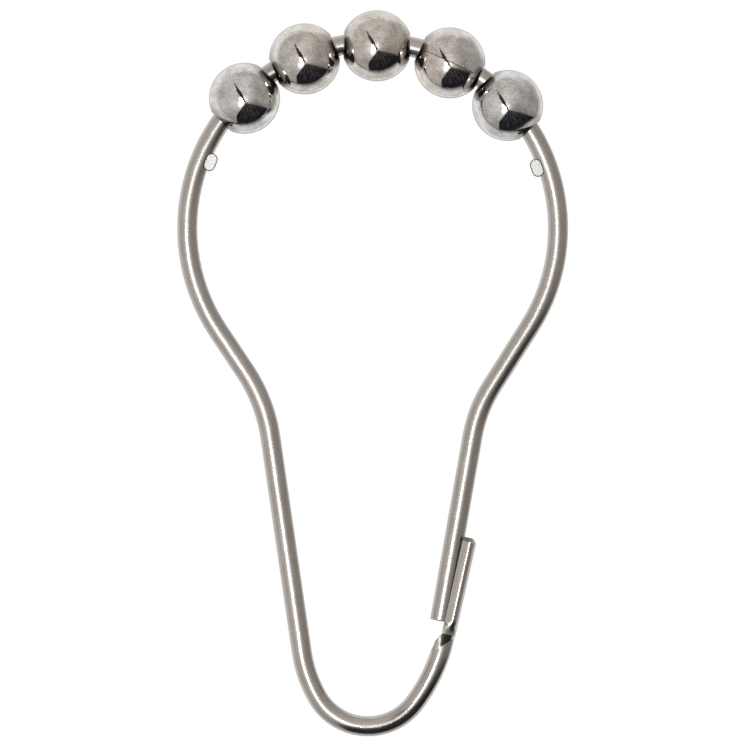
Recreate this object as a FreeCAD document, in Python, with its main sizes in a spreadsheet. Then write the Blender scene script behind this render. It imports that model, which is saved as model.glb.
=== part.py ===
import FreeCAD, Part
import os
from math import acos, asin, atan2, cos, pi, radians, sin

import Sketcher
from FreeCAD import Placement, Rotation, Vector

# Curtain hook: a bent wire with a rod loop above, a neck, and an eyelet hook below whose grooved tip
# takes the free end of the wire. Five hollow rolled balls ride on the loop between two pinched stops.
# The ring lies in the XZ plane, +Z up and -Y towards the viewer, with the loop's centre at the origin.
# Lengths are millimetres and angles are degrees. A lean is measured from straight up and down.

SIZES = {
    # Wire and loop
    "wire_dia": 2.2,
    "loop_radius": 20.4,
    # Left side, from the loop down to the hook
    "left_shoulder_lean": 33.7,
    "left_shoulder_length": 5.3,
    "left_neck_radius": 17.7,
    "left_leg_lean": 8.3,
    # Right side, from the loop down to the latch end
    "right_shoulder_lean": 32.4,
    "right_shoulder_length": 7.7,
    "right_neck_radius": 15.0,
    "right_leg_lean": 10.0,
    # Hook at the bottom: a tight bend between two wider ones
    "drop": 54.8,
    "left_haunch_radius": 14.0,
    "left_haunch_turn": 21.5,
    "right_haunch_radius": 17.5,
    "right_haunch_turn": 25.0,
    # Grooved tip and the leg that springs into it
    "tip_lean": 12.6,
    "tip_width": 2.9,
    "tip_proud": 0.06,
    "tip_taper_length": 3.0,
    "tip_chamfer": 0.45,
    "latch_rise": 11.6,
    "latch_overlap": 9.2,
    "latch_web": 0.78,
    "latch_clearance": 0.08,
    "latch_chamfer": 0.12,
    "lip_setback": 0.5,
    "groove_clear": 1.45,
    "groove_ramp": 34.0,
    # Balls
    "ball_dia": 7.8,
    "ball_wall": 0.5,
    "ball_clearance": 0.2,
    "ball_lip_bevel": 0.15,
    "ball_seam": 0.08,
    "middle_ball_lean": 1.3,
    "gap_1_2": 0.1,
    "gap_2_3": 0.27,
    "gap_3_4": 0.45,
    "gap_4_5": 0.1,
    # Stops pinched out of the wire beyond the outer balls
    "left_play": 3.6,
    "right_play": 3.2,
    "stop_length": 2.0,
    "stop_width": 1.3,
    "stop_inset": 1.15,
    "stop_thickness": 0.8,
}

# Where each ball's seam faces, as a turn of the ball on the wire: 0 is outwards, 90 faces the viewer
SEAM_TURNS = {1: 250, 2: 295, 3: 220, 4: 90, 5: 320}

UP = Vector(0, 0, 1)
FULL_TURN = 360
TINY = 0.001
# Order of the two arcs in a ball's section
OUTER_ARC = 0
INNER_ARC = 1

doc = FreeCAD.newDocument("curtain_hook")
sheet = doc.addObject("Spreadsheet::Sheet", "sizes")
for row, (name, value) in enumerate(SIZES.items(), start=1):
    sheet.set(f"A{row}", name)
    sheet.set(f"B{row}", str(value))
    sheet.setAlias(f"B{row}", name)
doc.recompute()


def size(name):
    return float(sheet.get(name))


def origin_plane(body, role):
    return next(plane for plane in body.Origin.OriginFeatures if plane.Role == role)


def new_sketch(body, role, name):
    sketch = body.newObject("Sketcher::SketchObject", name)
    sketch.AttachmentSupport = [(origin_plane(body, role), "")]
    sketch.MapMode = "FlatFace"
    return sketch


def drive(sketch, name, constraint, expression):
    """Adds a named constraint whose value is worked out from the sheet."""
    index = sketch.addConstraint(constraint)
    sketch.renameConstraint(index, name)
    sketch.setExpression(f"Constraints.{name}", expression)


def measure(sketch, name, constraint):
    """Adds a named measurement that other features can read."""
    index = sketch.addConstraint(constraint)
    sketch.setDriving(index, False)
    sketch.renameConstraint(index, name)


def place(feature, values):
    """Binds parts of a sketch's offset from its plane, such as Base.x, to expressions."""
    for field, expression in values.items():
        feature.setExpression(f".AttachmentOffset.{field}", expression)


def named_edges(feature, wanted):
    return [f"Edge{i}" for i, edge in enumerate(feature.Shape.Edges, start=1) if wanted(edge)]


def is_circle(edge, radius):
    return isinstance(edge.Curve, Part.Circle) and abs(edge.Curve.Radius - radius) < TINY


def open_outline(sketch, corners):
    """Straight lines from corner to corner, joined at their ends."""
    lines = [sketch.addGeometry(Part.LineSegment(a, b)) for a, b in zip(corners, corners[1:])]
    for before, after in zip(lines, lines[1:]):
        sketch.addConstraint(Sketcher.Constraint("Coincident", before, 2, after, 1))
    return lines


def closed_outline(sketch, corners):
    lines = open_outline(sketch, corners + corners[:1])
    sketch.addConstraint(Sketcher.Constraint("Coincident", lines[-1], 2, lines[0], 1))
    return lines


# Formulas shared by several features, as expressions over the sheet

WIRE_RADIUS = "sizes.wire_dia / 2"
GROOVE_RADIUS = f"({WIRE_RADIUS} + sizes.latch_clearance)"
SEAT_OFFSET = "sizes.latch_clearance + sizes.latch_web"
BALL_RADIUS = "sizes.ball_dia / 2"
BORE_RADIUS = f"({WIRE_RADIUS} + sizes.ball_clearance)"
# A ball is carried where its two bore lips hug the bent wire, so half a ball spans a chord of the loop
LIP_REACH = f"sqrt(({BALL_RADIUS})^2 - {BORE_RADIUS}^2)"
SEAT_RADIUS = f"sqrt(sizes.loop_radius^2 - ({BALL_RADIUS})^2 + {BORE_RADIUS}^2)"


def pitch(gap):
    """Angle between two neighbouring balls about the loop's centre."""
    return f"2 * asin((sizes.ball_dia + sizes.{gap}) / (2 * {SEAT_RADIUS}))"


MIDDLE = "sizes.middle_ball_lean * 1 deg"
BALL_LEANS = {
    1: f"{MIDDLE} - {pitch('gap_2_3')} - {pitch('gap_1_2')}",
    2: f"{MIDDLE} - {pitch('gap_2_3')}",
    3: MIDDLE,
    4: f"{MIDDLE} + {pitch('gap_3_4')}",
    5: f"{MIDDLE} + {pitch('gap_3_4')} + {pitch('gap_4_5')}",
}


def stop_swing(play):
    """Angle from an outer ball's centre to its stop's centre."""
    arc = f"({LIP_REACH} + sizes.{play} + sizes.stop_length / 2)"
    return f"{arc} / sizes.loop_radius * 180 deg / pi"


# Wire path, worked out from the loop down each side so that the sketch starts close to its solution


def down(lean):
    """Direction down the page that leans towards +X."""
    return Vector(sin(lean), -cos(lean), 0)


def side(lean):
    """Direction to the +X side of a run with this lean."""
    return Vector(cos(lean), sin(lean), 0)


def bend_step(radius, lean_in, lean_out):
    """Step along a bend that turns from one lean to another."""
    turn_sign = 1 if lean_out > lean_in else -1
    return (side(lean_in) - side(lean_out)) * radius * turn_sign


def straight(start, end):
    return Part.LineSegment(start, end), 1, 2


def bent(centre, start, end, clockwise):
    """Arc with the numbers of its first and last point in the order of the path."""
    first, last = (end, start) if clockwise else (start, end)
    angles = [atan2(p.y - centre.y, p.x - centre.x) for p in (first, last)]
    arc = Part.ArcOfCircle(Part.Circle(centre, UP, (start - centre).Length), *angles)
    return (arc, 2, 1) if clockwise else (arc, 1, 2)


def wire_segments():
    loop_radius = size("loop_radius")
    left_shoulder = radians(size("left_shoulder_lean"))
    left_leg = radians(size("left_leg_lean"))
    left_neck_radius = size("left_neck_radius")
    right_shoulder = -radians(size("right_shoulder_lean"))
    right_leg = -radians(size("right_leg_lean"))
    right_neck_radius = size("right_neck_radius")
    left_haunch_radius = size("left_haunch_radius")
    right_haunch_radius = size("right_haunch_radius")
    drop = size("drop")

    # Left side down to the leg, right side down to the latch end
    loop_left = side(left_shoulder) * -loop_radius
    shoulder_left = loop_left + down(left_shoulder) * size("left_shoulder_length")
    neck_left = shoulder_left + bend_step(left_neck_radius, left_shoulder, left_leg)
    loop_right = side(right_shoulder) * loop_radius
    shoulder_right = loop_right + down(right_shoulder) * size("right_shoulder_length")
    neck_right = shoulder_right + bend_step(right_neck_radius, right_shoulder, right_leg)
    latch_drop = drop - size("latch_rise") + neck_right.y
    latch_end = neck_right + down(right_leg) * (latch_drop / cos(right_leg))

    # Leg length and bottom radius that close the hook at its drop and its seat on the latch leg
    turned_in = left_leg + radians(size("left_haunch_turn"))
    tip_up = radians(180 - size("tip_lean"))
    turned_out = tip_up - radians(size("right_haunch_turn"))
    across = -side(tip_up)
    left_haunch = bend_step(left_haunch_radius, left_leg, turned_in)
    right_haunch = bend_step(right_haunch_radius, turned_out, tip_up)
    seat_gap = size("latch_clearance") + size("latch_web")
    to_bottom = -drop - (neck_left + left_haunch).y
    to_seat = seat_gap - (neck_left + left_haunch + right_haunch - latch_end).dot(across)
    leg_fall = down(left_leg).y
    bottom_fall = sin(turned_in) - 1
    leg_shift = down(left_leg).dot(across)
    bottom_shift = bend_step(1, turned_in, turned_out).dot(across)
    scale = leg_fall * bottom_shift - bottom_fall * leg_shift
    leg_length = (to_bottom * bottom_shift - bottom_fall * to_seat) / scale
    bottom_radius = (leg_fall * to_seat - to_bottom * leg_shift) / scale

    leg_end = neck_left + down(left_leg) * leg_length
    haunch_left = leg_end + left_haunch
    haunch_right = haunch_left + bend_step(bottom_radius, turned_in, turned_out)
    tip_start = haunch_right + right_haunch
    tip_height = latch_end.y + size("latch_overlap") - tip_start.y
    tip_end = tip_start + down(tip_up) * (tip_height / -cos(tip_up))

    neck_centre_left = neck_left - side(left_leg) * left_neck_radius
    neck_centre_right = neck_right + side(right_leg) * right_neck_radius
    return {
        "tip": straight(tip_end, tip_start),
        "right_haunch": bent(haunch_right + side(turned_out) * right_haunch_radius,
                             tip_start, haunch_right, True),
        "bottom": bent(haunch_left + side(turned_in) * bottom_radius, haunch_right, haunch_left, True),
        "left_haunch": bent(leg_end + side(left_leg) * left_haunch_radius, haunch_left, leg_end, True),
        "left_leg": straight(leg_end, neck_left),
        "left_neck": bent(neck_centre_left, neck_left, shoulder_left, False),
        "left_shoulder": straight(shoulder_left, loop_left),
        "loop": bent(Vector(), loop_left, loop_right, True),
        "right_shoulder": straight(loop_right, shoulder_right),
        "right_neck": bent(neck_centre_right, shoulder_right, neck_right, False),
        "latch_leg": straight(neck_right, latch_end),
    }


def wire_path(body):
    """Centreline of the wire from the grooved tip round to the latch end, and its measurements."""
    path = new_sketch(body, "XZ_Plane", "wire_path")
    segments = wire_segments()
    number = {}
    previous = None
    for name, (geometry, first, last) in segments.items():
        number[name] = path.addGeometry(geometry)
        if previous:
            before, point = previous
            path.addConstraint(Sketcher.Constraint("Tangent", before, point, number[name], first))
        previous = number[name], last
    lowest = Vector(segments["bottom"][0].Center.x, -size("drop"), 0)
    floor = path.addGeometry(Part.LineSegment(Vector(0, lowest.y, 0), lowest), True)

    path.addConstraint(Sketcher.Constraint("Coincident", number["loop"], 3, -1, 1))
    for bend in ("loop", "left_neck", "right_neck", "left_haunch", "right_haunch"):
        radius = segments[bend][0].Radius
        drive(path, f"{bend}_radius", Sketcher.Constraint("Radius", number[bend], radius),
              f"sizes.{bend}_radius")
    for bend in ("left_haunch", "right_haunch"):
        turn = radians(size(f"{bend}_turn"))
        drive(path, f"{bend}_turn", Sketcher.Constraint("Angle", number[bend], turn), f"sizes.{bend}_turn")
    for run in ("left_shoulder", "right_shoulder"):
        length = size(f"{run}_length")
        drive(path, f"{run}_length", Sketcher.Constraint("Distance", number[run], length),
              f"sizes.{run}_length")
    # Each run points along the path: up the left side, down the right side and down the tip
    for run, angle in (("left_leg", "90 + sizes.left_leg_lean"),
                       ("left_shoulder", "90 + sizes.left_shoulder_lean"),
                       ("right_shoulder", "-90 - sizes.right_shoulder_lean"),
                       ("latch_leg", "-90 - sizes.right_leg_lean"),
                       ("tip", "-90 - sizes.tip_lean")):
        line = segments[run][0]
        heading = line.EndPoint - line.StartPoint
        constraint = Sketcher.Constraint("Angle", number[run], atan2(heading.y, heading.x))
        drive(path, f"{run}_heading", constraint, angle)

    # The bottom bend touches a level line at the drop
    path.addConstraint(Sketcher.Constraint("Horizontal", floor))
    path.addConstraint(Sketcher.Constraint("PointOnObject", floor, 1, -2))
    path.addConstraint(Sketcher.Constraint("Tangent", floor, 2, number["bottom"]))
    drive(path, "drop", Sketcher.Constraint("DistanceY", floor, 1, -1, 1, size("drop")), "sizes.drop")
    drive(path, "latch_rise",
          Sketcher.Constraint("DistanceY", floor, 1, number["latch_leg"], 2, size("latch_rise")),
          "sizes.latch_rise")
    drive(path, "latch_overlap",
          Sketcher.Constraint("DistanceY", number["latch_leg"], 2, number["tip"], 1, size("latch_overlap")),
          "sizes.latch_overlap")
    seat = size("latch_clearance") + size("latch_web")
    drive(path, "seat_offset", Sketcher.Constraint("Distance", number["latch_leg"], 2, number["tip"], seat),
          SEAT_OFFSET)
    for end, run, point in (("tip_end", "tip", 1), ("latch_end", "latch_leg", 2)):
        line = segments[run][0]
        spot = line.StartPoint if point == 1 else line.EndPoint
        measure(path, f"{end}_x", Sketcher.Constraint("DistanceX", -1, 1, number[run], point, spot.x))
        measure(path, f"{end}_z", Sketcher.Constraint("DistanceY", -1, 1, number[run], point, spot.y))
    doc.recompute()
    return path, {name: f"Edge{index + 1}" for name, index in number.items()}


def sweep_wire(body, path, edges, name):
    """Round wire along some of the path's edges, from the first edge's start."""
    section = body.newObject("Sketcher::SketchObject", f"{name}_section")
    section.AttachmentSupport = [(path, edges[0])]
    section.MapMode = "NormalToEdge"
    circle = section.addGeometry(Part.Circle(Vector(), UP, size("wire_dia") / 2))
    section.addConstraint(Sketcher.Constraint("Coincident", circle, 3, -1, 1))
    drive(section, "wire_radius", Sketcher.Constraint("Radius", circle, size("wire_dia") / 2), WIRE_RADIUS)
    doc.recompute()
    pipe = body.newObject("PartDesign::AdditivePipe", name)
    pipe.Profile = section
    pipe.Spine = (path, edges)
    doc.recompute()


def tip_blank(body):
    """Thickened end of the wire, before the groove is pressed into it."""
    blank = new_sketch(body, "XZ_Plane", "tip_blank_outline")
    tilt = "sizes.tip_lean * 1 deg"
    shift = f"({WIRE_RADIUS} + sizes.tip_proud - sizes.tip_width / 2)"
    place(blank, {"Base.x": f"wire_path.Constraints.tip_end_x + {shift} * cos({tilt}) * 1 mm",
                  "Base.y": f"wire_path.Constraints.tip_end_z - {shift} * sin({tilt}) * 1 mm",
                  "Rotation.Angle": f"-{tilt}"})
    radius = size("tip_width") / 2
    length = size("latch_overlap") / cos(radians(size("tip_lean"))) + size("groove_clear")
    thin = size("wire_dia") - radius
    corners = [Vector(), Vector(radius, 0, 0), Vector(radius, -length, 0),
               Vector(thin, -length - size("tip_taper_length"), 0),
               Vector(0, -length - size("tip_taper_length"), 0)]
    lines = closed_outline(blank, corners)
    blank.addConstraint(Sketcher.Constraint("Coincident", lines[0], 1, -1, 1))
    blank.addConstraint(Sketcher.Constraint("Horizontal", lines[0]))
    blank.addConstraint(Sketcher.Constraint("Vertical", lines[1]))
    blank.addConstraint(Sketcher.Constraint("Horizontal", lines[3]))
    blank.addConstraint(Sketcher.Constraint("Vertical", lines[4]))
    drive(blank, "radius", Sketcher.Constraint("Distance", lines[0], radius), "sizes.tip_width / 2")
    drive(blank, "length", Sketcher.Constraint("Distance", lines[1], length),
          f"sizes.latch_overlap / cos({tilt}) + sizes.groove_clear")
    taper = Sketcher.Constraint("DistanceY", lines[2], 2, lines[2], 1, size("tip_taper_length"))
    drive(blank, "taper", taper, "sizes.tip_taper_length")
    drive(blank, "thin_end", Sketcher.Constraint("Distance", lines[3], thin),
          "sizes.wire_dia - sizes.tip_width / 2")
    doc.recompute()
    thick = body.newObject("PartDesign::Revolution", "tip_blank")
    thick.Profile = blank
    thick.ReferenceAxis = (blank, ["V_Axis"])
    thick.Angle = FULL_TURN
    doc.recompute()


def end_chamfer(body, name, path, end, radius, cell):
    """Breaks the round edge of a cut end of the wire."""
    spot = Vector(path.getDatum(f"{end}_x").Value, 0, path.getDatum(f"{end}_z").Value)
    wire = body.Tip
    edges = named_edges(wire, lambda edge: is_circle(edge, radius)
                        and edge.Curve.Center.distanceToPoint(spot) < radius)
    chamfer = body.newObject("PartDesign::Chamfer", name)
    chamfer.Base = (wire, edges)
    chamfer.setExpression("Size", f"sizes.{cell}")
    doc.recompute()


def latch_groove(body):
    """Groove along the tip that takes the latch leg, open to the left, with a slope at its lower end."""
    section = new_sketch(body, "XY_Plane", "latch_groove_section")
    tilt = "sizes.tip_lean * 1 deg"
    section.AttachmentOffset = Placement(Vector(), Rotation(Vector(0, 1, 0), size("tip_lean")))
    place(section, {
        "Base.x": f"wire_path.Constraints.latch_end_x - sizes.groove_clear * sin({tilt}) * 1 mm",
        "Base.z": f"wire_path.Constraints.latch_end_z - sizes.groove_clear * cos({tilt}) * 1 mm",
        "Rotation.Angle": tilt})
    radius = size("wire_dia") / 2 + size("latch_clearance")
    lip = size("lip_setback")
    reach = size("tip_width")
    open_side = size("tip_width") - size("wire_dia") / 2
    lip_angle = acos(lip / radius)
    arc = section.addGeometry(Part.ArcOfCircle(Part.Circle(Vector(), UP, radius), -lip_angle, lip_angle))
    lip_half = radius * sin(lip_angle)
    corners = [Vector(lip, lip_half, 0), Vector(lip, reach, 0), Vector(-open_side, reach, 0),
               Vector(-open_side, -reach, 0), Vector(lip, -reach, 0), Vector(lip, -lip_half, 0)]
    lines = open_outline(section, corners)
    section.addConstraint(Sketcher.Constraint("Coincident", arc, 2, lines[0], 1))
    section.addConstraint(Sketcher.Constraint("Coincident", lines[-1], 2, arc, 1))
    section.addConstraint(Sketcher.Constraint("Coincident", arc, 3, -1, 1))
    for line in (lines[0], lines[2], lines[4]):
        section.addConstraint(Sketcher.Constraint("Vertical", line))
    for line in (lines[1], lines[3]):
        section.addConstraint(Sketcher.Constraint("Horizontal", line))
    section.addConstraint(Sketcher.Constraint("Symmetric", lines[1], 1, lines[3], 2, -1))
    drive(section, "groove_radius", Sketcher.Constraint("Radius", arc, radius), GROOVE_RADIUS)
    drive(section, "lip", Sketcher.Constraint("DistanceX", -1, 1, lines[0], 1, lip), "sizes.lip_setback")
    drive(section, "open_side", Sketcher.Constraint("DistanceX", lines[2], 1, -1, 1, open_side),
          f"sizes.tip_width - {WIRE_RADIUS}")
    drive(section, "reach", Sketcher.Constraint("DistanceY", lines[4], 1, lines[0], 2, 2 * reach),
          "2 * sizes.tip_width")
    doc.recompute()

    groove = body.newObject("PartDesign::Pocket", "latch_groove")
    groove.Profile = section
    groove.Reversed = True
    rise = f"(sizes.latch_overlap + sizes.tip_width) / cos({tilt})"
    groove.setExpression("Length", f"{rise} + sizes.groove_clear")
    doc.recompute()
    slope = radians(size("tip_lean") + size("groove_ramp"))
    runout = body.newObject("PartDesign::Pocket", "latch_groove_runout")
    runout.Profile = section
    runout.UseCustomVector = True
    runout.Direction = Vector(-sin(slope), 0, -cos(slope))
    runout.setExpression("Direction.x", f"-sin({tilt} + sizes.groove_ramp * 1 deg)")
    runout.setExpression("Direction.z", f"-cos({tilt} + sizes.groove_ramp * 1 deg)")
    runout.setExpression("Length", "sizes.tip_width")
    doc.recompute()


def pinched_stop(body, name, lean):
    """Flat ear pressed out of the wire on the inside of the loop, with the dent that it came from."""
    ear = new_sketch(body, "XZ_Plane", f"{name}_outline")
    place(ear, {"Rotation.Angle": f"-({lean})"})
    half = size("stop_width") / 2
    reach = size("stop_length") / 2 - half
    middle = size("loop_radius") - size("stop_inset")
    right_end = Part.Circle(Vector(reach, middle, 0), UP, half)
    left_end = Part.Circle(Vector(-reach, middle, 0), UP, half)
    right = ear.addGeometry(Part.ArcOfCircle(right_end, -pi / 2, pi / 2))
    left = ear.addGeometry(Part.ArcOfCircle(left_end, pi / 2, -pi / 2))
    top = ear.addGeometry(Part.LineSegment(Vector(reach, middle + half, 0), Vector(-reach, middle + half, 0)))
    low = ear.addGeometry(Part.LineSegment(Vector(-reach, middle - half, 0), Vector(reach, middle - half, 0)))
    for first, second in ((right, top), (top, left), (left, low), (low, right)):
        ear.addConstraint(Sketcher.Constraint("Tangent", first, 2, second, 1))
    ear.addConstraint(Sketcher.Constraint("Symmetric", right, 3, left, 3, -2))
    drive(ear, "half_width", Sketcher.Constraint("Radius", right, half), "sizes.stop_width / 2")
    drive(ear, "spread", Sketcher.Constraint("DistanceX", left, 3, right, 3, 2 * reach),
          "sizes.stop_length - sizes.stop_width")
    drive(ear, "middle", Sketcher.Constraint("DistanceY", -1, 1, right, 3, middle),
          "sizes.loop_radius - sizes.stop_inset")
    doc.recompute()
    dent = body.newObject("PartDesign::Pocket", f"{name}_dent")
    dent.Profile = ear
    dent.SideType = "Symmetric"
    dent.setExpression("Length", "2 * sizes.wire_dia")
    doc.recompute()
    flat = body.newObject("PartDesign::Pad", name)
    flat.Profile = ear
    flat.SideType = "Symmetric"
    flat.setExpression("Length", "sizes.stop_thickness")
    doc.recompute()


def wire_hook():
    body = doc.addObject("PartDesign::Body", "wire_hook")
    path, edge_of = wire_path(body)
    main_run = [edge for run, edge in edge_of.items() if run != "latch_leg"]
    sweep_wire(body, path, main_run, "main_run")
    tip_blank(body)
    end_chamfer(body, "tip_edge", path, "tip_end", size("tip_width") / 2, "tip_chamfer")
    latch_groove(body)
    sweep_wire(body, path, [edge_of["latch_leg"]], "latch_leg")
    end_chamfer(body, "latch_edge", path, "latch_end", size("wire_dia") / 2, "latch_chamfer")
    pinched_stop(body, "left_stop", f"{BALL_LEANS[1]} - {stop_swing('left_play')}")
    pinched_stop(body, "right_stop", f"{BALL_LEANS[5]} + {stop_swing('right_play')}")
    return body


def roller_ball(number):
    """Hollow ball rolled from sheet, made at the top of the loop and turned to its place on the wire."""
    body = doc.addObject("PartDesign::Body", f"roller_ball_{number}")
    outer = size("ball_dia") / 2
    inner = outer - size("ball_wall")
    bore = size("wire_dia") / 2 + size("ball_clearance")
    bevel = size("ball_lip_bevel")
    outer_angle = asin((bore + bevel) / outer)
    inner_angle = asin(bore / inner)
    section = new_sketch(body, "XZ_Plane", f"ball_{number}_section")
    section.AttachmentOffset = Placement(Vector(), Rotation(Vector(1, 0, 0), SEAM_TURNS[number]))
    place(section, {"Base.y": f"{SEAT_RADIUS} * 1 mm"})
    for name, radius, angle, formula in (("outer", outer, outer_angle, BALL_RADIUS),
                                         ("inner", inner, inner_angle, f"{BALL_RADIUS} - sizes.ball_wall")):
        arc = section.addGeometry(Part.ArcOfCircle(Part.Circle(Vector(), UP, radius), angle, pi - angle))
        section.addConstraint(Sketcher.Constraint("Coincident", arc, 3, -1, 1))
        drive(section, f"{name}_radius", Sketcher.Constraint("Radius", arc, radius), formula)
    # Each lip runs from the inside of the wall along the bore to the bevel on the outside
    for name, way, end in (("right", 1, 1), ("left", -1, 2)):
        inside = Vector(way * inner * cos(inner_angle), bore, 0)
        outside = Vector(way * outer * cos(outer_angle), bore + bevel, 0)
        corner = Vector(outside.x - way * bevel, bore, 0)
        lip, edge = open_outline(section, [inside, corner, outside])
        section.addConstraint(Sketcher.Constraint("Coincident", INNER_ARC, end, lip, 1))
        section.addConstraint(Sketcher.Constraint("Coincident", edge, 2, OUTER_ARC, end))
        section.addConstraint(Sketcher.Constraint("Horizontal", lip))
        drive(section, f"{name}_bore", Sketcher.Constraint("DistanceY", -1, 1, lip, 1, bore), BORE_RADIUS)
        drive(section, f"{name}_bevel_rise", Sketcher.Constraint("DistanceY", edge, 1, edge, 2, bevel),
              "sizes.ball_lip_bevel")
        first, last = ((edge, 1), (edge, 2)) if way > 0 else ((edge, 2), (edge, 1))
        drive(section, f"{name}_bevel_run", Sketcher.Constraint("DistanceX", *first, *last, bevel),
              "sizes.ball_lip_bevel")
    doc.recompute()
    shell = body.newObject("PartDesign::Revolution", f"ball_{number}_shell")
    shell.Profile = section
    shell.ReferenceAxis = (section, ["H_Axis"])
    shell.setExpression("Angle", f"{FULL_TURN} deg - sizes.ball_seam / ({BALL_RADIUS}) * 180 deg / pi")
    doc.recompute()

    body.Placement = Placement(Vector(), Rotation(Vector(0, 1, 0), size("middle_ball_lean")))
    body.setExpression(".Placement.Rotation.Angle", BALL_LEANS[number])
    doc.recompute()
    return body


sub_parts = [wire_hook()]
for number in SEAM_TURNS:
    sub_parts.append(roller_ball(number))

doc.recompute()
failed = [item.Name for item in doc.Objects if {"Invalid", "Error"} & set(item.State)]
if failed:
    raise RuntimeError(f"features that failed: {failed}")
for part in sub_parts:
    if part.Shape.isNull() or not part.Shape.isValid():
        raise RuntimeError(f"{part.Label} has no valid solid")

os.makedirs("parts", exist_ok=True)
for part in sub_parts:
    part.Shape.exportStep(f"parts/{part.Label}.step")
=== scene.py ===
from math import asin, cos, pi, radians, sin, sqrt

import bmesh
import bpy
import numpy as np
from mathutils import Matrix, Vector


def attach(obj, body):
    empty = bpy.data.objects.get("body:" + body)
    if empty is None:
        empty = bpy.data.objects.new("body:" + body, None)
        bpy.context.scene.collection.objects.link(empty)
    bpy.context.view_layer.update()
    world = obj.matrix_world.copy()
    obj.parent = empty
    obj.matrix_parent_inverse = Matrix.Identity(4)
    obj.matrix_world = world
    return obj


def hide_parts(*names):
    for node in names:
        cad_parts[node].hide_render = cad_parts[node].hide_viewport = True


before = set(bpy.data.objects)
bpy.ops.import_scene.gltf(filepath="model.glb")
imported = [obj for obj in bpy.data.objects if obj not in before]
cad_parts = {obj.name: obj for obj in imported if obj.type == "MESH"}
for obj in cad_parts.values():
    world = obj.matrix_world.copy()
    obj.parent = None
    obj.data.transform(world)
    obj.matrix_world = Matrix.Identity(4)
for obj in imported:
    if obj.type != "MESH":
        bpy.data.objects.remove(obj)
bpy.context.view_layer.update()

MM = 0.001

# Sizes of the object in millimetres, as in the part
WIRE_DIA = 2.2
LOOP_RADIUS = 20.4
# Runs and bends of the wire on each side, from the top of the loop: (length) or (radius, turn)
LEFT_RUNS = [(LOOP_RADIUS, 90 + 33.7), (5.3,), (17.7, 8.3 - 33.7), (23.889,), (14.0, 21.5), (6.423, 112.6),
             (17.5, 25.0), (11.718,)]
RIGHT_RUNS = [(LOOP_RADIUS, 90 + 32.4), (7.7,), (15.0, 10.0 - 32.4), (20.649,)]
BALL_DIA = 7.8
BALL_WALL = 0.5
BALL_CLEARANCE = 0.2
BALL_LIP_BEVEL = 0.15
BALL_SEAM = 0.08
MIDDLE_BALL_LEAN = 1.3
BALL_GAPS = {(1, 2): 0.1, (2, 3): 0.27, (3, 4): 0.45, (4, 5): 0.1}
# Where each ball's seam faces: 0 is outwards from the loop, 90 faces the viewer
SEAM_TURNS = {1: 250, 2: 295, 3: 220, 4: 90, 5: 320}
LEFT_PLAY = 3.6
RIGHT_PLAY = 3.2
STOP_LENGTH = 2.0
STOP_WIDTH = 1.3
STOP_INSET = 1.15
# The pressed tip; places across it are from the wire's centreline, away from the latch
TIP_RADIUS = 1.45
TIP_EDGE = 1.16
LATCH_WEB = 0.78
GROOVE_RADIUS = 1.144
TIP_LIP = -0.36
TIP_CROWN = 0.5
CROWN_HEIGHT = 1.38
CROWN_ROUND = 0.25
LIP_HEIGHT = 1.06
LIP_CLOSING = 0.07
ROLLED_LENGTH = 9.2
ROLL_FADE = 1.4
TIP_LENGTH = 10.9
TAPER_LENGTH = 3.0
# How the tip's faces are told from the latch's, cut and reshaped; cuts merge within CUT_MERGE metres
LATCH_SKIN = 0.03
THINNEST_LIP = 0.01
LEAST_SLOPE = 0.05
NUDGE = 0.002
ACROSS_CUTS = 14
ALONG_CUTS = 24
CUT_MERGE = 1e-7

# The picture: 750 pixels across are 82.5 mm at the plane of the wire
VIEW_CENTRE = Vector((0.26, 0, -16.15)) * MM
VIEW_WIDTH = 82.5 * MM
CAMERA_DISTANCE = 1.5
CLIP_END = 10.0
SENSOR = 36.0

# The studio, in metres
TENT_RADIUS = 0.8
FLOOR_DROP = 0.9
FLOOR_HALF = 0.8
FLOOR_TONES = ((0.9, 0.9, 0.9, 1), (0.93, 0.93, 0.93, 1))
FLOOR_ROUGHNESS = 0.9
FLOOR_CLOUDS = 40.0
SOFT_LIGHT = (0.8, 0.8, 0.8, 1)
WHITE = (1, 1, 1, 1)
BACK_CARD_HALF = 0.5
BACK_CARD_TONE = (0.50, 0.48, 0.46)
# Where a card's edge starts to fade, as a share of its half
CARD_FADE = 0.4
# How far round the tent reaches, as a share of a mirror ball's radius
TENT_REACH = 0.95
# Which way the tent's slit runs, and the lamp beside it, in the same measure
SLIT_WAY = (0.478, -0.878)
LAMP_PLACE = (-0.088, -0.052)
LAMP_HALF_LENGTH = 0.13
LAMP_HALF_WIDTH = 0.036
LAMP_TONE = (30.0, 30.0, 30.0)
# How far out the lamp hangs, as a share of the tent's radius
LAMP_REACH = 0.98


# Material nodes

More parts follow.
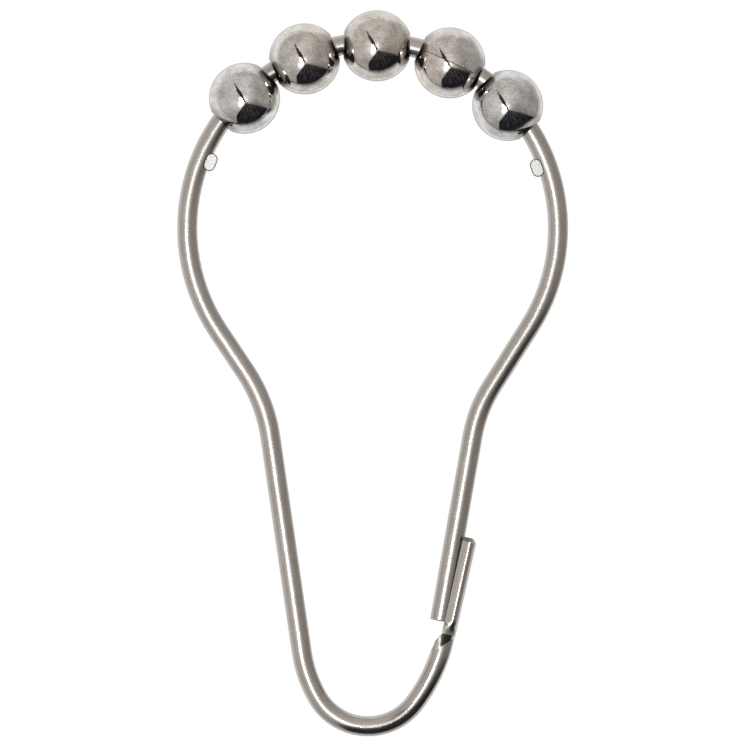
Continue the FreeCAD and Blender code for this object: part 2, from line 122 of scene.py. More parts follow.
class Graph:
    """Short calls for building a node tree."""

    def __init__(self, tree):
        self.tree = tree
        tree.nodes.clear()

    def node(self, kind, **settings):
        made = self.tree.nodes.new(kind)
        for name, value in settings.items():
            setattr(made, name, value)
        return made

    def link(self, source, target):
        self.tree.links.new(source, target)

    def put(self, socket, value):
        """Links an output to a socket, or sets the socket's own value."""
        if isinstance(value, bpy.types.NodeSocket):
            self.link(value, socket)
        else:
            socket.default_value = value

    def math(self, operation, *values, clamp=False):
        made = self.node("ShaderNodeMath", operation=operation, use_clamp=clamp)
        for socket, value in zip(made.inputs, values):
            self.put(socket, value)
        return made.outputs[0]

    def add(self, first, *rest):
        total = first
        for value in rest:
            total = self.math("ADD", total, value)
        return total

    def less(self, first, second):
        return self.math("SUBTRACT", first, second)

    def times(self, first, *rest):
        total = first
        for value in rest:
            total = self.math("MULTIPLY", total, value)
        return total

    def ramp(self, value, low, high, start=0.0, end=1.0):
        """Smooth step of a value from one level to another."""
        made = self.node("ShaderNodeMapRange", interpolation_type="SMOOTHSTEP")
        for socket, level in zip(made.inputs, (value, low, high, start, end)):
            self.put(socket, level)
        return made.outputs[0]

    def mix(self, share, first, second):
        made = self.node("ShaderNodeMix", data_type="RGBA")
        self.put(made.inputs["Factor"], share)
        self.put(made.inputs[6], first)
        self.put(made.inputs[7], second)
        return made.outputs[2]

    def noise(self, vector, scale=1.0, detail=2.0, roughness=0.5):
        made = self.node("ShaderNodeTexNoise")
        self.link(vector, made.inputs["Vector"])
        for name, value in (("Scale", scale), ("Detail", detail), ("Roughness", roughness)):
            made.inputs[name].default_value = value
        return made.outputs["Fac"]

    def stretch(self, vector, scale):
        made = self.node("ShaderNodeMapping")
        self.link(vector, made.inputs["Vector"])
        made.inputs["Scale"].default_value = scale
        return made.outputs[0]

    def axes(self, vector):
        made = self.node("ShaderNodeSeparateXYZ")
        self.link(vector, made.inputs[0])
        return made.outputs

    def bump(self, height, strength, depth):
        made = self.node("ShaderNodeBump")
        made.inputs["Strength"].default_value = strength
        made.inputs["Distance"].default_value = depth
        self.link(height, made.inputs["Height"])
        return made.outputs[0]

    def finish(self, shader, kind="ShaderNodeOutputMaterial"):
        made = self.node(kind)
        self.link(shader.outputs[0], made.inputs["Surface"])


def new_material(name):
    material = bpy.data.materials.new(name)
    material.use_nodes = True
    return material, Graph(material.node_tree)


# Balls

ball_radius = BALL_DIA / 2
bore_radius = WIRE_DIA / 2 + BALL_CLEARANCE
seat_radius = sqrt(LOOP_RADIUS ** 2 - ball_radius ** 2 + bore_radius ** 2)


def pitch(first, second):
    return 2 * asin((BALL_DIA + BALL_GAPS[first, second]) / (2 * seat_radius))


def ball_leans():
    lean = {3: radians(MIDDLE_BALL_LEAN)}
    lean[2] = lean[3] - pitch(2, 3)
    lean[1] = lean[2] - pitch(1, 2)
    lean[4] = lean[3] + pitch(3, 4)
    lean[5] = lean[4] + pitch(4, 5)
    return lean


OUTER_STEPS = 72
INNER_STEPS = 28
LIP_STEPS = 4
ROUND_STEPS = 144


def ball_section():
    """Closed outline of the ball's wall, as distances along and from the bore's axis."""
    inner = ball_radius - BALL_WALL
    outer_angle = asin((bore_radius + BALL_LIP_BEVEL) / ball_radius)
    inner_angle = asin(bore_radius / inner)
    outline = []
    for step in range(OUTER_STEPS + 1):
        angle = outer_angle + (pi - 2 * outer_angle) * step / OUTER_STEPS
        outline.append((ball_radius * cos(angle), ball_radius * sin(angle)))
    rim_x = ball_radius * cos(outer_angle) - BALL_LIP_BEVEL
    for step in range(1, LIP_STEPS + 1):
        angle = pi / 2 * step / LIP_STEPS
        rise = BALL_LIP_BEVEL * (1 - sin(angle))
        outline.append((-rim_x - BALL_LIP_BEVEL * cos(angle), bore_radius + rise))
    for step in range(INNER_STEPS + 1):
        angle = pi - inner_angle - (pi - 2 * inner_angle) * step / INNER_STEPS
        outline.append((inner * cos(angle), inner * sin(angle)))
    for step in range(LIP_STEPS):
        angle = pi / 2 * (1 - step / LIP_STEPS)
        rise = BALL_LIP_BEVEL * (1 - sin(angle))
        outline.append((rim_x + BALL_LIP_BEVEL * cos(angle), bore_radius + rise))
    return outline


def shade_smooth(mesh, angle):
    for face in mesh.polygons:
        face.use_smooth = True
    mesh.set_sharp_from_angle(angle=angle)


SHARP = radians(40)


def add_piece(name, mesh, body, node, material):
    piece = bpy.data.objects.new(name, mesh)
    bpy.context.scene.collection.objects.link(piece)
    mesh.materials.append(material)
    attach(piece, body)
    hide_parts(node)


def ball_mesh(number, lean):
    outline = ball_section()
    seam = BALL_SEAM / ball_radius
    start = radians(SEAM_TURNS[number])
    shell = bmesh.new()
    pole = shell.verts.layers.float.new("pole")
    rings = []
    for step in range(ROUND_STEPS + 1):
        turn = start + (2 * pi - seam) * step / ROUND_STEPS
        rings.append([shell.verts.new((x, -r * sin(turn), r * cos(turn))) for x, r in outline])
        for vert in rings[-1]:
            vert[pole] = abs(vert.co.x) / ball_radius
    for before, after in zip(rings, rings[1:]):
        for k in range(len(outline)):
            m = (k + 1) % len(outline)
            shell.faces.new((before[k], before[m], after[m], after[k]))
    shell.faces.new(rings[0])
    shell.faces.new(list(reversed(rings[-1])))
    bmesh.ops.recalc_face_normals(shell, faces=shell.faces)
    place = Matrix.Rotation(lean, 4, "Y") @ Matrix.Translation((0, 0, seat_radius))
    shell.transform(Matrix.Scale(MM, 4) @ place)
    mesh = bpy.data.meshes.new(f"roller_ball_{number}")
    shell.to_mesh(mesh)
    shell.free()
    shade_smooth(mesh, SHARP)
    return mesh


# Polish of the balls: tones, and how fine its marks are per metre
BALL_TONES = ((0.50, 0.485, 0.47, 1), (0.78, 0.768, 0.752, 1))
BALL_WARMTH = (1.0, 0.95, 0.90, 1)
# Tone of the painted shade round the bores
BALL_POLE_SHADE = (0.24, 0.225, 0.21, 1)
BALL_ROUGHNESS = (0.02, 0.07)
BALL_BUMP = 0.16
CLOUD_SCALE = 900.0
FINE_SCALE = 6500.0
SCRATCH_SCALES = (1500.0, 9000.0, 9000.0)
# How much of the tone the clouds, the fine marks and the scratches make
BALL_SHARES = (0.4, 0.35, 0.25)
TONE_SPREAD = (0.42, 0.58)
ROUGH_SPREAD = (0.36, 0.64)
FINE_DENTS = 0.6
MARK_DEPTH = 0.02
# The warm middle of the row, and where the painted shade round the poles lies, as a share of the ball's
# radius
WARM_FROM = 14.0
WARM_TO = 5.0
POLE_SHADE_SPREAD = (0.70, 0.95)


def ball_material():
    material, graph = new_material("polished_ball")
    place = graph.node("ShaderNodeTexCoord").outputs["Object"]
    pole = graph.node("ShaderNodeAttribute", attribute_name="pole").outputs["Fac"]
    cloud = graph.noise(place, CLOUD_SCALE, detail=4.0, roughness=0.6)
    fine = graph.noise(place, FINE_SCALE, detail=2.0, roughness=0.6)
    scratch = graph.noise(graph.stretch(place, SCRATCH_SCALES), detail=2.0)
    shader = graph.node("ShaderNodeBsdfPrincipled")
    shares = zip((cloud, fine, scratch), BALL_SHARES)
    tone = graph.add(*[graph.times(mark, share) for mark, share in shares])
    colour = graph.mix(graph.ramp(tone, *TONE_SPREAD), *BALL_TONES)
    # A little warmer in the middle of the row
    sideways = graph.math("ABSOLUTE", graph.axes(place)["X"])
    middle = graph.ramp(sideways, WARM_FROM * MM, WARM_TO * MM)
    warm = graph.node("ShaderNodeMix", data_type="RGBA", blend_type="MULTIPLY")
    graph.link(middle, warm.inputs["Factor"])
    graph.link(colour, warm.inputs[6])
    warm.inputs[7].default_value = BALL_WARMTH
    colour = warm.outputs[2]
    # Painted shade round the bores, darker where the balls crowd each other and the wire
    pole_shade = graph.ramp(pole, *POLE_SHADE_SPREAD)
    graph.put(shader.inputs["Base Color"], graph.mix(pole_shade, colour, BALL_POLE_SHADE))
    shader.inputs["Metallic"].default_value = 1.0
    graph.put(shader.inputs["Roughness"], graph.ramp(tone, *ROUGH_SPREAD, *BALL_ROUGHNESS))
    dents = graph.add(scratch, graph.times(fine, FINE_DENTS))
    graph.link(graph.bump(dents, BALL_BUMP, MARK_DEPTH * MM), shader.inputs["Normal"])
    graph.finish(shader)
    return material


# Wire

PATH_STEP = 0.25


def run_points(runs, way):
    """Points along one side of the wire, and how far each is from the top of the loop."""
    spot = Vector((0, LOOP_RADIUS))
    heading = 0.0
    points = [spot.copy()]
    lengths = [0.0]
    for run in runs:
        turn = radians(run[1]) if len(run) > 1 else 0.0
        length = run[0] * abs(turn) if len(run) > 1 else run[0]
        steps = max(1, round(length / PATH_STEP))
        for _ in range(steps):
            middle = heading + turn / steps / 2
            spot = spot + Vector((way * cos(middle), -sin(middle))) * (length / steps)
            heading += turn / steps
            points.append(spot.copy())
            lengths.append(lengths[-1] + length / steps)
    return points, lengths


def wire_path():
    """The whole centreline from the grooved tip to the latch end, and the length along it."""
    left, left_lengths = run_points(LEFT_RUNS, -1)
    right, right_lengths = run_points(RIGHT_RUNS, 1)
    total = left_lengths[-1]
    points = list(reversed(left)) + right[1:]
    lengths = [total - length for length in reversed(left_lengths)]
    lengths += [total + length for length in right_lengths[1:]]
    return np.array([tuple(p) for p in points]), np.array(lengths)


path, path_lengths = wire_path()
path_ways = np.gradient(path, axis=0)
path_ways /= np.linalg.norm(path_ways, axis=1)[:, None]
path_sides = np.stack((-path_ways[:, 1], path_ways[:, 0]), axis=1)
latch_start = int(np.searchsorted(path_lengths, path_lengths[-1] - RIGHT_RUNS[-1][0]))
tip_length = TIP_LENGTH + TAPER_LENGTH
tip_end = int(np.searchsorted(path_lengths, tip_length))


def nearest_spots(spots):
    """For each spot of the wire, the nearest point of the centreline."""
    nearest = np.zeros(len(spots), int)
    for index, spot in enumerate(spots):
        away = ((spot[[0, 2]] - path) ** 2).sum(axis=1)
        near = int(away.argmin())
        latch = latch_start + int(away[latch_start:].argmin())
        # The latch end lies in the tip's groove, so its own surface goes first
        if away[latch] + spot[1] ** 2 < (WIRE_DIA / 2 + LATCH_SKIN) ** 2:
            near = latch
        nearest[index] = near
    return nearest


def wire_places(spots):
    """Length along the wire, place across it and height of each spot, and its nearest point."""
    nearest = nearest_spots(spots)
    offsets = spots[:, [0, 2]] - path[nearest]
    along = path_lengths[nearest] + (offsets * path_ways[nearest]).sum(axis=1)
    across = (offsets * path_sides[nearest]).sum(axis=1)
    return np.stack((along, across, spots[:, 1]), axis=1), nearest


def arch(across, radius, edge):
    """Height of a round section above its middle, where its outer end is at an edge."""
    return np.sqrt(np.maximum(radius ** 2 - (across - edge + radius) ** 2, 0))


def smooth(share):
    share = np.clip(share, 0, 1)
    return share ** 2 * (3 - 2 * share)


def rolled_height(places):
    """Height of spots on the tip once its lips are rolled in and the rest of it is pressed as flat."""
    along, across, height = places.T
    outer = arch(across, TIP_RADIUS, TIP_EDGE)
    inner = arch(across, GROOVE_RADIUS, TIP_EDGE - LATCH_WEB)
    to_edge = np.clip((across - TIP_CROWN) / (TIP_EDGE - TIP_CROWN), 0, 1)
    to_lip = np.maximum((TIP_CROWN - across) / (TIP_CROWN - TIP_LIP), 0)
    fall = np.sqrt(to_lip ** 2 + CROWN_ROUND ** 2) - CROWN_ROUND
    fall /= sqrt(1 + CROWN_ROUND ** 2) - CROWN_ROUND
    new_outer = CROWN_HEIGHT * np.sqrt(1 - to_edge ** 2) - (CROWN_HEIGHT - LIP_HEIGHT) * fall
    new_inner = inner * (1 - LIP_CLOSING * to_lip ** 2)
    depth = (np.abs(height) - inner) / np.maximum(outer - inner, THINNEST_LIP)
    rolled = np.sign(height) * (new_inner + depth * (new_outer - new_inner))
    lips = smooth((ROLLED_LENGTH + ROLL_FADE - along) / ROLL_FADE)
    pressed = height * (1 - (1 - CROWN_HEIGHT / TIP_RADIUS) * smooth((tip_length - along) / TAPER_LENGTH))
    return pressed + lips * (rolled - pressed)


def cut_tip(mesh, on_tip):
    """Cuts the tip's faces into smaller ones, across and along it, to be shaped."""
    shell = bmesh.new()
    shell.from_mesh(mesh)
    geom = set()
    for face in shell.faces:
        if all(on_tip[vert.index] for vert in face.verts):
            geom.update((face, *face.edges, *face.verts))
    geom = list(geom)
    way = Vector((path_ways[0][0], 0, path_ways[0][1]))
    side = Vector((path_sides[0][0], 0, path_sides[0][1]))
    end = Vector((path[0][0], 0, path[0][1]))
    cuts = []
    for step in range(1, ACROSS_CUTS):
        cuts.append((end + side * (TIP_LIP + (TIP_EDGE - TIP_LIP) * step / ACROSS_CUTS), side))
    for step in range(1, ALONG_CUTS):
        cuts.append((end + way * tip_length * step / ALONG_CUTS, way))
    for spot, normal in cuts:
        geom = bmesh.ops.bisect_plane(shell, geom=geom, plane_co=spot * MM, plane_no=normal,
                                      dist=CUT_MERGE)["geom"]
    shell.to_mesh(mesh)
    shell.free()


def read_vectors(items, name, count):
    flat = np.zeros(count * 3, np.float32)
    items.foreach_get(name, flat)
    return flat.reshape(-1, 3).astype(float)


def roll_lips(mesh):
    """Rolls the tip's lips in and turns the part's exact normals with them."""
    corner_normals = read_vectors(mesh.corner_normals, "vector", len(mesh.loops))
    kept = mesh.attributes.new("exact_normal", "FLOAT_VECTOR", "CORNER")
    kept.data.foreach_set("vector", corner_normals.astype(np.float32).ravel())
    _, nearest = wire_places(read_vectors(mesh.vertices, "co", len(mesh.vertices)) / MM)
    cut_tip(mesh, nearest < tip_end)

    spots = read_vectors(mesh.vertices, "co", len(mesh.vertices)) / MM
    places, nearest = wire_places(spots)
    on_tip = (nearest < tip_end) & (places[:, 0] < tip_length)
    spots[on_tip, 1] = rolled_height(places[on_tip])
    normals = read_vectors(mesh.attributes["exact_normal"].data, "vector", len(mesh.loops))
    corners = np.zeros(len(mesh.loops), np.int32)
    mesh.loops.foreach_get("vertex_index", corners)
    turned = np.flatnonzero(on_tip[corners])
    here = places[corners[turned]]
    slopes = []
    for axis in range(3):
        step = np.zeros(3)
        step[axis] = NUDGE
        slopes.append((rolled_height(here + step) - rolled_height(here - step)) / (2 * NUDGE))
    way = path_ways[nearest[corners[turned]]]
    side = path_sides[nearest[corners[turned]]]
    before = normals[turned]
    rise = before[:, 1] / np.maximum(slopes[2], LEAST_SLOPE)
    n_along = (before[:, [0, 2]] * way).sum(axis=1) - slopes[0] * rise
    n_across = (before[:, [0, 2]] * side).sum(axis=1) - slopes[1] * rise
    flat = n_along[:, None] * way + n_across[:, None] * side
    after = np.stack((flat[:, 0], rise, flat[:, 1]), axis=1)
    normals[turned] = after / np.linalg.norm(after, axis=1)[:, None]
    mesh.vertices.foreach_set("co", (spots * MM).astype(np.float32).ravel())
    mesh.update()
    mesh.normals_split_custom_set([tuple(normal) for normal in normals])
    mesh.attributes.remove(mesh.attributes["exact_normal"])


def wire_mesh():
    """The wire with its lips rolled in, and places along and across it for its drawn grain."""
    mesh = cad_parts["wire_hook"].data.copy()
    mesh.name = "bent_wire"
    roll_lips(mesh)
    places, _ = wire_places(read_vectors(mesh.vertices, "co", len(mesh.vertices)) / MM)
    attribute = mesh.attributes.new("grain", "FLOAT_VECTOR", "POINT")
    attribute.data.foreach_set("vector", places.astype(np.float32).ravel())
    mesh.materials.clear()
    return mesh


# Where a stop's pale face ends outside its outline, and its dark brim, painted shade of the dent's walls,
# lies inside it
FACE_START = 0.01
FACE_END = 0.03
BRIM_START = 0.16
BRIM_END = 0.04


def stop_masks(graph):
    """Where the flat faces of the two stops are, and their edges."""
    place = graph.node("ShaderNodeTexCoord").outputs["Object"]
    lip_reach = sqrt(ball_radius ** 2 - bore_radius ** 2)
    half = STOP_WIDTH / 2
    leans = ball_leans()
    masks = []
    for lean, way, play in ((leans[1], -1, LEFT_PLAY), (leans[5], 1, RIGHT_PLAY)):
        turn = lean + way * (lip_reach + play + STOP_LENGTH / 2) / LOOP_RADIUS
        spin = graph.node("ShaderNodeVectorRotate", rotation_type="Y_AXIS")
        graph.link(place, spin.inputs["Vector"])
        spin.inputs["Angle"].default_value = -turn
        axes = graph.axes(graph.stretch(spin.outputs[0], (1 / MM, 1 / MM, 1 / MM)))
        side = graph.less(graph.math("ABSOLUTE", axes["X"]), STOP_LENGTH / 2 - half)
        side = graph.math("MAXIMUM", side, 0.0)
        rise = graph.less(axes["Z"], LOOP_RADIUS - STOP_INSET)
        away = graph.math("SQRT", graph.add(graph.times(side, side), graph.times(rise, rise)))
        face = graph.ramp(away, half + FACE_END, half + FACE_START)
        masks.append((face, graph.ramp(away, half - BRIM_START, half - BRIM_END)))
    flat = graph.math("MAXIMUM", masks[0][0], masks[1][0])
    # Dark brim of painted shade along each stop's edge
    brim_shade = graph.math("MAXIMUM", graph.times(*masks[0]), graph.times(*masks[1]))
    return flat, brim_shade


# Drawn steel of the wire, and of its stops and its sheared end
WIRE_TONES = ((0.43, 0.40, 0.37, 1), (0.555, 0.522, 0.488, 1))
STOP_TONES = ((0.48, 0.475, 0.47, 1), (0.76, 0.75, 0.74, 1))
# Painted shade along the stops' edges
BRIM_SHADE_TONE = (0.06, 0.055, 0.052, 1)
SHEARED_TONE = (0.14, 0.125, 0.11, 1)
SHEARED_SHARE = 0.75
WIRE_ROUGHNESS = (0.25, 0.32)
STOP_ROUGHNESS = 0.5
BEND_POLISH = -0.09
HAUNCH_DULLNESS = 0.06
WIRE_BUMP = 0.025
# Marks per millimetre along, across and through the wire
CLOUD_GRAIN = (0.5, 1.2, 1.2)
LINE_GRAIN = (0.35, 9.0, 9.0)
SPECK_GRAIN = (5.0, 9.0, 9.0)
# How much of the tone the clouds, lines and specks make, and of the bump the lines and specks
WIRE_SHARES = (0.25, 0.45, 0.30)
DENT_SHARES = (0.6, 0.4)
WIRE_SPREAD = (0.36, 0.64)
# Stretches in millimetres from the tip: the sheared end, the bright bend and the dull haunch
SHEARED_END = (0.5, 0.3)
BEND_RISE = (4.0, 14.0)
BEND_FALL = (42.0, 30.0)
HAUNCH_RISE = (60.0, 64.0)
HAUNCH_FALL = (78.0, 72.0)


def wire_material():
    material, graph = new_material("drawn_wire")
    place = graph.node("ShaderNodeAttribute", attribute_name="grain").outputs["Vector"]
    along = graph.axes(place)["X"]
    cloud = graph.noise(graph.stretch(place, CLOUD_GRAIN), detail=3.0, roughness=0.6)
    lines = graph.noise(graph.stretch(place, LINE_GRAIN), detail=3.0, roughness=0.65)
    speck = graph.noise(graph.stretch(place, SPECK_GRAIN), detail=2.0, roughness=0.6)
    shares = zip((cloud, lines, speck), WIRE_SHARES)
    tone = graph.add(*[graph.times(mark, share) for mark, share in shares])
    shader = graph.node("ShaderNodeBsdfPrincipled")
    colour = graph.mix(graph.ramp(tone, *WIRE_SPREAD), *WIRE_TONES)
    # Pinched stops: dull faces, with a dark edge of painted shade where the dent's walls fall away
    flat, brim_shade = stop_masks(graph)
    colour = graph.mix(flat, colour, graph.mix(speck, *STOP_TONES))
    colour = graph.mix(brim_shade, colour, BRIM_SHADE_TONE)
    # Sheared end of the tip
    sheared = graph.ramp(along, *SHEARED_END)
    colour = graph.mix(graph.times(sheared, SHEARED_SHARE), colour, SHEARED_TONE)
    graph.put(shader.inputs["Base Color"], colour)
    shader.inputs["Metallic"].default_value = 1.0
    # The bottom bend is brighter than the legs, the left haunch duller
    bright = graph.times(graph.ramp(along, *BEND_RISE), graph.ramp(along, *BEND_FALL))
    dull = graph.times(graph.ramp(along, *HAUNCH_RISE), graph.ramp(along, *HAUNCH_FALL))
    rough = graph.add(graph.ramp(tone, *WIRE_SPREAD, *WIRE_ROUGHNESS), graph.times(bright, BEND_POLISH),
                      graph.times(dull, HAUNCH_DULLNESS))
    graph.put(shader.inputs["Roughness"], graph.math("MAXIMUM", rough, graph.times(flat, STOP_ROUGHNESS)))
    dents = graph.add(*[graph.times(mark, share) for mark, share in zip((lines, speck), DENT_SHARES)])
    graph.link(graph.bump(dents, WIRE_BUMP, MARK_DEPTH * MM), shader.inputs["Normal"])
    graph.finish(shader)
    return material


# Studio: a white surround, a pale floor, and a soft tent in front with a lamp and a dark opening

# The tent's cloth. Places and stretches are as a mirror ball of radius 1 shows them, right and up
CREASE_SCALE = 7.0
CREASES = (0.04, 0.05)
CLOTH_TONES = ((0.665, 0.64, 0.615, 1), (0.42, 0.395, 0.375, 1))
SHADE_ACROSS = (-0.1, 0.35)
SHADE_UP = (0.75, 0.1, 0.3, 1.0)
LOW_TONE = (0.45, 0.43, 0.41, 1)
LOW_UP = (-0.15, -0.65)
LOW_ACROSS = (0.1, -0.2)
TOP_TONE = (0.80, 0.765, 0.73, 1)
TOP_PLACE = (0.0, 0.35)
TOP_RADIUS = 0.28
TOP_SHARE = 0.7
DUSK_TONE = (0.16, 0.148, 0.138, 1)
DUSK_PLACE = (0.0, -0.04)
DUSK_SOFT = 0.15
DUSK_ACROSS = (0.0, 0.2)
DUSK_SHARE = 0.9
# The slit, from its top end along its way
SLIT_TOP = (-0.30, 0.455)
SLIT_OPENS = (-0.02, 0.3, 0.004, 0.042)
SLIT_CLOSES = (0.4, 0.62, 1.0, 0.85)
SLIT_START = (0.0, 0.06)
SLIT_END = (0.66, 0.63)
SLIT_EDGE = (1.25, 0.75)
# Glow round the lamp: place, radius, share and tone of each patch
GLOWS = [((-0.10, -0.02), 0.24, 0.5, 1.3),
         ((-0.11, -0.17), 0.06, 1.0, 3.0),
         ((-0.03, -0.03), 0.07, 1.0, 2.5)]
# The dark opening: a point on each of its edges, the way into it and how soft the edge is
OPENING_TOP_WAY = (-0.25, -0.968)
OPENING_EDGES = [((0.02, -0.095), OPENING_TOP_WAY, 0.012),
                 ((0.01, -0.14), (0.794, -0.608), 0.012),
                 ((-0.24, 0.0), (1.0, 0.0), 0.02)]
NIGHT_TONES = ((0.016, 0.013, 0.012, 1), (0.015, 0.020, 0.032, 1))
NIGHT_SCALE = 9.0
NIGHT_SPREAD = (0.4, 0.6)
RAY_TONE = (0.17, 0.155, 0.145, 1)
RAY_SHARE = 0.7
RAY_CENTRE = 0.03
RAYS_ROUND = 7.0
RAYS_OUTWARD = 3.0
RAY_SPREAD = (0.44, 0.62)
RAY_FADE = (0.75, 0.15)
# The cloth's edge, further out on the right
EDGE_FADE = (0.69, 0.84)
LATE_ACROSS = (0.2, 0.6, 0.0, 0.13)
LATE_UP = (-0.5, -0.2)
RIM_TONE = (0.80, 0.80, 0.81, 1)
RIM_UP = (-0.45, -0.75)


def tent_material():
    """Cloth of the tent: u and v are where a mirror ball of radius 1 would show each spot."""
    material, graph = new_material("tent_cloth")
    spot = graph.node("ShaderNodeVectorMath", operation="NORMALIZE")
    graph.link(graph.node("ShaderNodeTexCoord").outputs["Object"], spot.inputs[0])
    axes = graph.axes(spot.outputs[0])
    spread = graph.math("SQRT", graph.times(graph.less(1.0, axes["Y"]), 2.0))
    # Slight creases in the cloth
    crease = graph.less(graph.noise(spot.outputs[0], CREASE_SCALE, detail=3.0), 0.5)
    u = graph.add(graph.math("DIVIDE", axes["X"], spread), graph.times(crease, CREASES[0]))
    v = graph.add(graph.math("DIVIDE", axes["Z"], spread), graph.times(crease, CREASES[1]))
    reach = graph.math("SQRT", graph.add(graph.times(u, u), graph.times(v, v)))

    def beyond(point, normal, soft):
        """0 on one side of a line through a point and 1 on the side that its normal points to."""
        du = graph.times(graph.less(u, point[0]), normal[0])
        dv = graph.times(graph.less(v, point[1]), normal[1])
        return graph.ramp(graph.add(du, dv), -soft, soft)

    def around(point, radius):
        """1 at a point, fading softly with the distance from it."""
        du = graph.math("DIVIDE", graph.less(u, point[0]), radius)
        dv = graph.math("DIVIDE", graph.less(v, point[1]), radius)
        square = graph.add(graph.times(du, du), graph.times(dv, dv))
        return graph.math("EXPONENT", graph.times(square, -1.0))

    # Cloth, lightest above and on the left
    shade = graph.times(graph.ramp(u, *SHADE_ACROSS), graph.ramp(v, *SHADE_UP))
    cloth = graph.mix(shade, *CLOTH_TONES)
    low = graph.times(graph.ramp(v, *LOW_UP), graph.ramp(u, *LOW_ACROSS))
    cloth = graph.mix(low, cloth, LOW_TONE)
    cloth = graph.mix(graph.times(around(TOP_PLACE, TOP_RADIUS), TOP_SHARE), cloth, TOP_TONE)
    dusk = graph.times(beyond(DUSK_PLACE, OPENING_TOP_WAY, DUSK_SOFT), graph.ramp(u, *DUSK_ACROSS))
    cloth = graph.mix(graph.times(dusk, DUSK_SHARE), cloth, DUSK_TONE)
    # Slit beside the lamp, widest in its middle
    slit_u, slit_v = SLIT_WAY
    from_u = graph.less(u, SLIT_TOP[0])
    from_v = graph.less(v, SLIT_TOP[1])
    along = graph.add(graph.times(from_u, slit_u), graph.times(from_v, slit_v))
    across = graph.add(graph.times(from_u, -slit_v), graph.times(from_v, slit_u))
    width = graph.times(graph.ramp(along, *SLIT_OPENS), graph.ramp(along, *SLIT_CLOSES))
    inside = graph.times(graph.ramp(along, *SLIT_START), graph.ramp(along, *SLIT_END))
    off = graph.math("DIVIDE", graph.math("ABSOLUTE", across), width)
    slit = graph.times(inside, graph.ramp(off, *SLIT_EDGE))
    # Glow round the lamp, with a tail below it
    lit = cloth
    for point, radius, share, tone in GLOWS:
        lit = graph.mix(graph.times(around(point, radius), share), lit, (tone, tone, tone, 1))
    # Dark opening from beside the camera down to the right
    opening = graph.times(*[beyond(*edge) for edge in OPENING_EDGES])
    # Faint rays and tints inside the opening
    angle = graph.math("ARCTAN2", graph.add(v, RAY_CENTRE), graph.add(u, RAY_CENTRE))
    polar = graph.node("ShaderNodeCombineXYZ")
    graph.link(graph.times(angle, RAYS_ROUND), polar.inputs["X"])
    graph.link(graph.times(reach, RAYS_OUTWARD), polar.inputs["Y"])
    streaks = graph.noise(polar.outputs[0], detail=4.0, roughness=0.75)
    rays = graph.times(graph.ramp(streaks, *RAY_SPREAD), graph.ramp(reach, *RAY_FADE))
    tint = graph.ramp(graph.noise(spot.outputs[0], NIGHT_SCALE, detail=3.0), *NIGHT_SPREAD)
    night = graph.mix(graph.times(rays, RAY_SHARE), graph.mix(tint, *NIGHT_TONES), RAY_TONE)
    colour = graph.mix(graph.math("MAXIMUM", opening, slit), lit, night)
    # The cloth's edge fades into the white surround
    late = graph.times(graph.ramp(u, *LATE_ACROSS), graph.ramp(v, *LATE_UP))
    edge = graph.ramp(graph.less(reach, late), *EDGE_FADE)
    colour = graph.mix(edge, colour, graph.mix(graph.ramp(v, *RIM_UP), WHITE, RIM_TONE))
    glow = graph.node("ShaderNodeEmission")
    graph.link(colour, glow.inputs["Color"])
    graph.finish(glow)
    return material


def tent():
    """Rather more than half a sphere on the viewer's side of the object."""
    shell = bmesh.new()
    bmesh.ops.create_uvsphere(shell, u_segments=64, v_segments=48, radius=TENT_RADIUS)
    edge = TENT_RADIUS * (2 * TENT_REACH ** 2 - 1)
    behind = [vert for vert in shell.verts if vert.co.y > edge]
    bmesh.ops.delete(shell, geom=behind, context="VERTS")
    mesh = bpy.data.meshes.new("tent")
    shell.to_mesh(mesh)
    shell.free()
    cover = bpy.data.objects.new("tent", mesh)
    cover.location = VIEW_CENTRE
    bpy.context.scene.collection.objects.link(cover)
    mesh.materials.append(tent_material())
    cover.visible_camera = False


def card(name, place, turn, size, tone):
    """Oval card with a soft edge, which only the metal shows."""
    shell = bmesh.new()
    bmesh.ops.create_circle(shell, cap_ends=True, segments=64, radius=1.0)
    mesh = bpy.data.meshes.new(name)
    shell.to_mesh(mesh)
    shell.free()
    board = bpy.data.objects.new(name, mesh)
    board.location = place
    board.rotation_euler = turn.to_euler()
    board.scale = (*size, 1)
    bpy.context.scene.collection.objects.link(board)
    material, graph = new_material(name)
    length = graph.node("ShaderNodeVectorMath", operation="LENGTH")
    graph.link(graph.node("ShaderNodeTexCoord").outputs["Object"], length.inputs[0])
    glow = graph.node("ShaderNodeEmission")
    glow.inputs["Color"].default_value = (*tone, 1)
    clear = graph.node("ShaderNodeBsdfTransparent")
    both = graph.node("ShaderNodeMixShader")
    graph.link(graph.ramp(length.outputs["Value"], CARD_FADE, 1.0), both.inputs[0])
    graph.link(glow.outputs[0], both.inputs[1])
    graph.link(clear.outputs[0], both.inputs[2])
    graph.finish(both)
    mesh.materials.append(material)
    board.visible_camera = False


def back_card():
    """Grey card far behind, which darkens the far rims a little."""
    away = Vector((0, -1, 0))
    card("back_card", (0, TENT_RADIUS, 0), away.to_track_quat("Z", "Y"),
         (BACK_CARD_HALF, BACK_CARD_HALF), BACK_CARD_TONE)


def lamp():
    """Long soft lamp just inside the tent, lying along the slit."""
    u, v = LAMP_PLACE
    facing = sqrt(1 - u ** 2 - v ** 2)
    towards = Vector((2 * facing * u, 1 - 2 * facing ** 2, 2 * facing * v))
    reach = TENT_RADIUS * LAMP_REACH
    slit = Vector((SLIT_WAY[0], 0, SLIT_WAY[1]))
    across = slit.cross(-towards).normalized()
    slit = (-towards).cross(across).normalized()
    turn = Matrix((slit, across, -towards)).transposed().to_quaternion()
    size = (2 * reach * LAMP_HALF_LENGTH, 2 * reach * LAMP_HALF_WIDTH)
    card("lamp", VIEW_CENTRE + towards * reach, turn, size, LAMP_TONE)


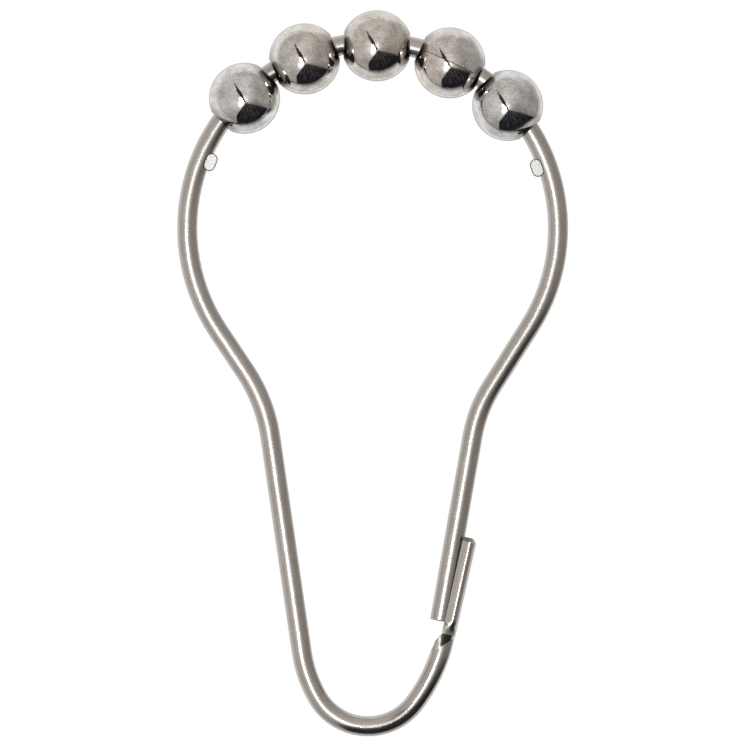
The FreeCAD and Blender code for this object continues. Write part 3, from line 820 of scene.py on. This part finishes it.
def surround():
    world = bpy.data.worlds.new("surround")
    world.use_nodes = True
    bpy.context.scene.world = world
    graph = Graph(world.node_tree)
    kinds = graph.node("ShaderNodeLightPath").outputs
    seen = graph.add(kinds["Is Camera Ray"], kinds["Is Glossy Ray"], kinds["Is Transmission Ray"])
    soft = graph.node("ShaderNodeBackground")
    soft.inputs["Color"].default_value = SOFT_LIGHT
    white = graph.node("ShaderNodeBackground")
    white.inputs["Color"].default_value = WHITE
    both = graph.node("ShaderNodeMixShader")
    graph.link(graph.math("MINIMUM", seen, 1.0), both.inputs[0])
    graph.link(soft.outputs[0], both.inputs[1])
    graph.link(white.outputs[0], both.inputs[2])
    graph.finish(both, "ShaderNodeOutputWorld")


def floor():
    mesh = bpy.data.meshes.new("floor")
    corners = [(-FLOOR_HALF, -FLOOR_HALF, 0), (FLOOR_HALF, -FLOOR_HALF, 0),
               (FLOOR_HALF, FLOOR_HALF, 0), (-FLOOR_HALF, FLOOR_HALF, 0)]
    mesh.from_pydata(corners, [], [(0, 1, 2, 3)])
    plate = bpy.data.objects.new("floor", mesh)
    plate.location = (0, 0, -FLOOR_DROP)
    bpy.context.scene.collection.objects.link(plate)
    material, graph = new_material("pale_floor")
    shader = graph.node("ShaderNodeBsdfPrincipled")
    place = graph.node("ShaderNodeTexCoord").outputs["Object"]
    tone = graph.noise(place, FLOOR_CLOUDS, detail=2.0)
    graph.put(shader.inputs["Base Color"], graph.mix(tone, *FLOOR_TONES))
    shader.inputs["Roughness"].default_value = FLOOR_ROUGHNESS
    graph.finish(shader)
    mesh.materials.append(material)


def camera():
    lens = bpy.data.cameras.new("camera")
    lens.sensor_width = SENSOR
    lens.lens = SENSOR * CAMERA_DISTANCE / VIEW_WIDTH
    lens.clip_end = CLIP_END
    eye = bpy.data.objects.new("camera", lens)
    eye.location = VIEW_CENTRE + Vector((0, -CAMERA_DISTANCE, 0))
    eye.rotation_euler = (pi / 2, 0, 0)
    bpy.context.scene.collection.objects.link(eye)
    bpy.context.scene.camera = eye


polished = ball_material()
for number, lean in ball_leans().items():
    add_piece(f"rolled_ball_{number}", ball_mesh(number, lean), f"ball_{number}", f"roller_ball_{number}",
              polished)
add_piece("bent_wire", wire_mesh(), "wire", "wire_hook", wire_material())

surround()
tent()
back_card()
lamp()
floor()
camera()
bpy.context.scene.view_settings.view_transform = "Standard"
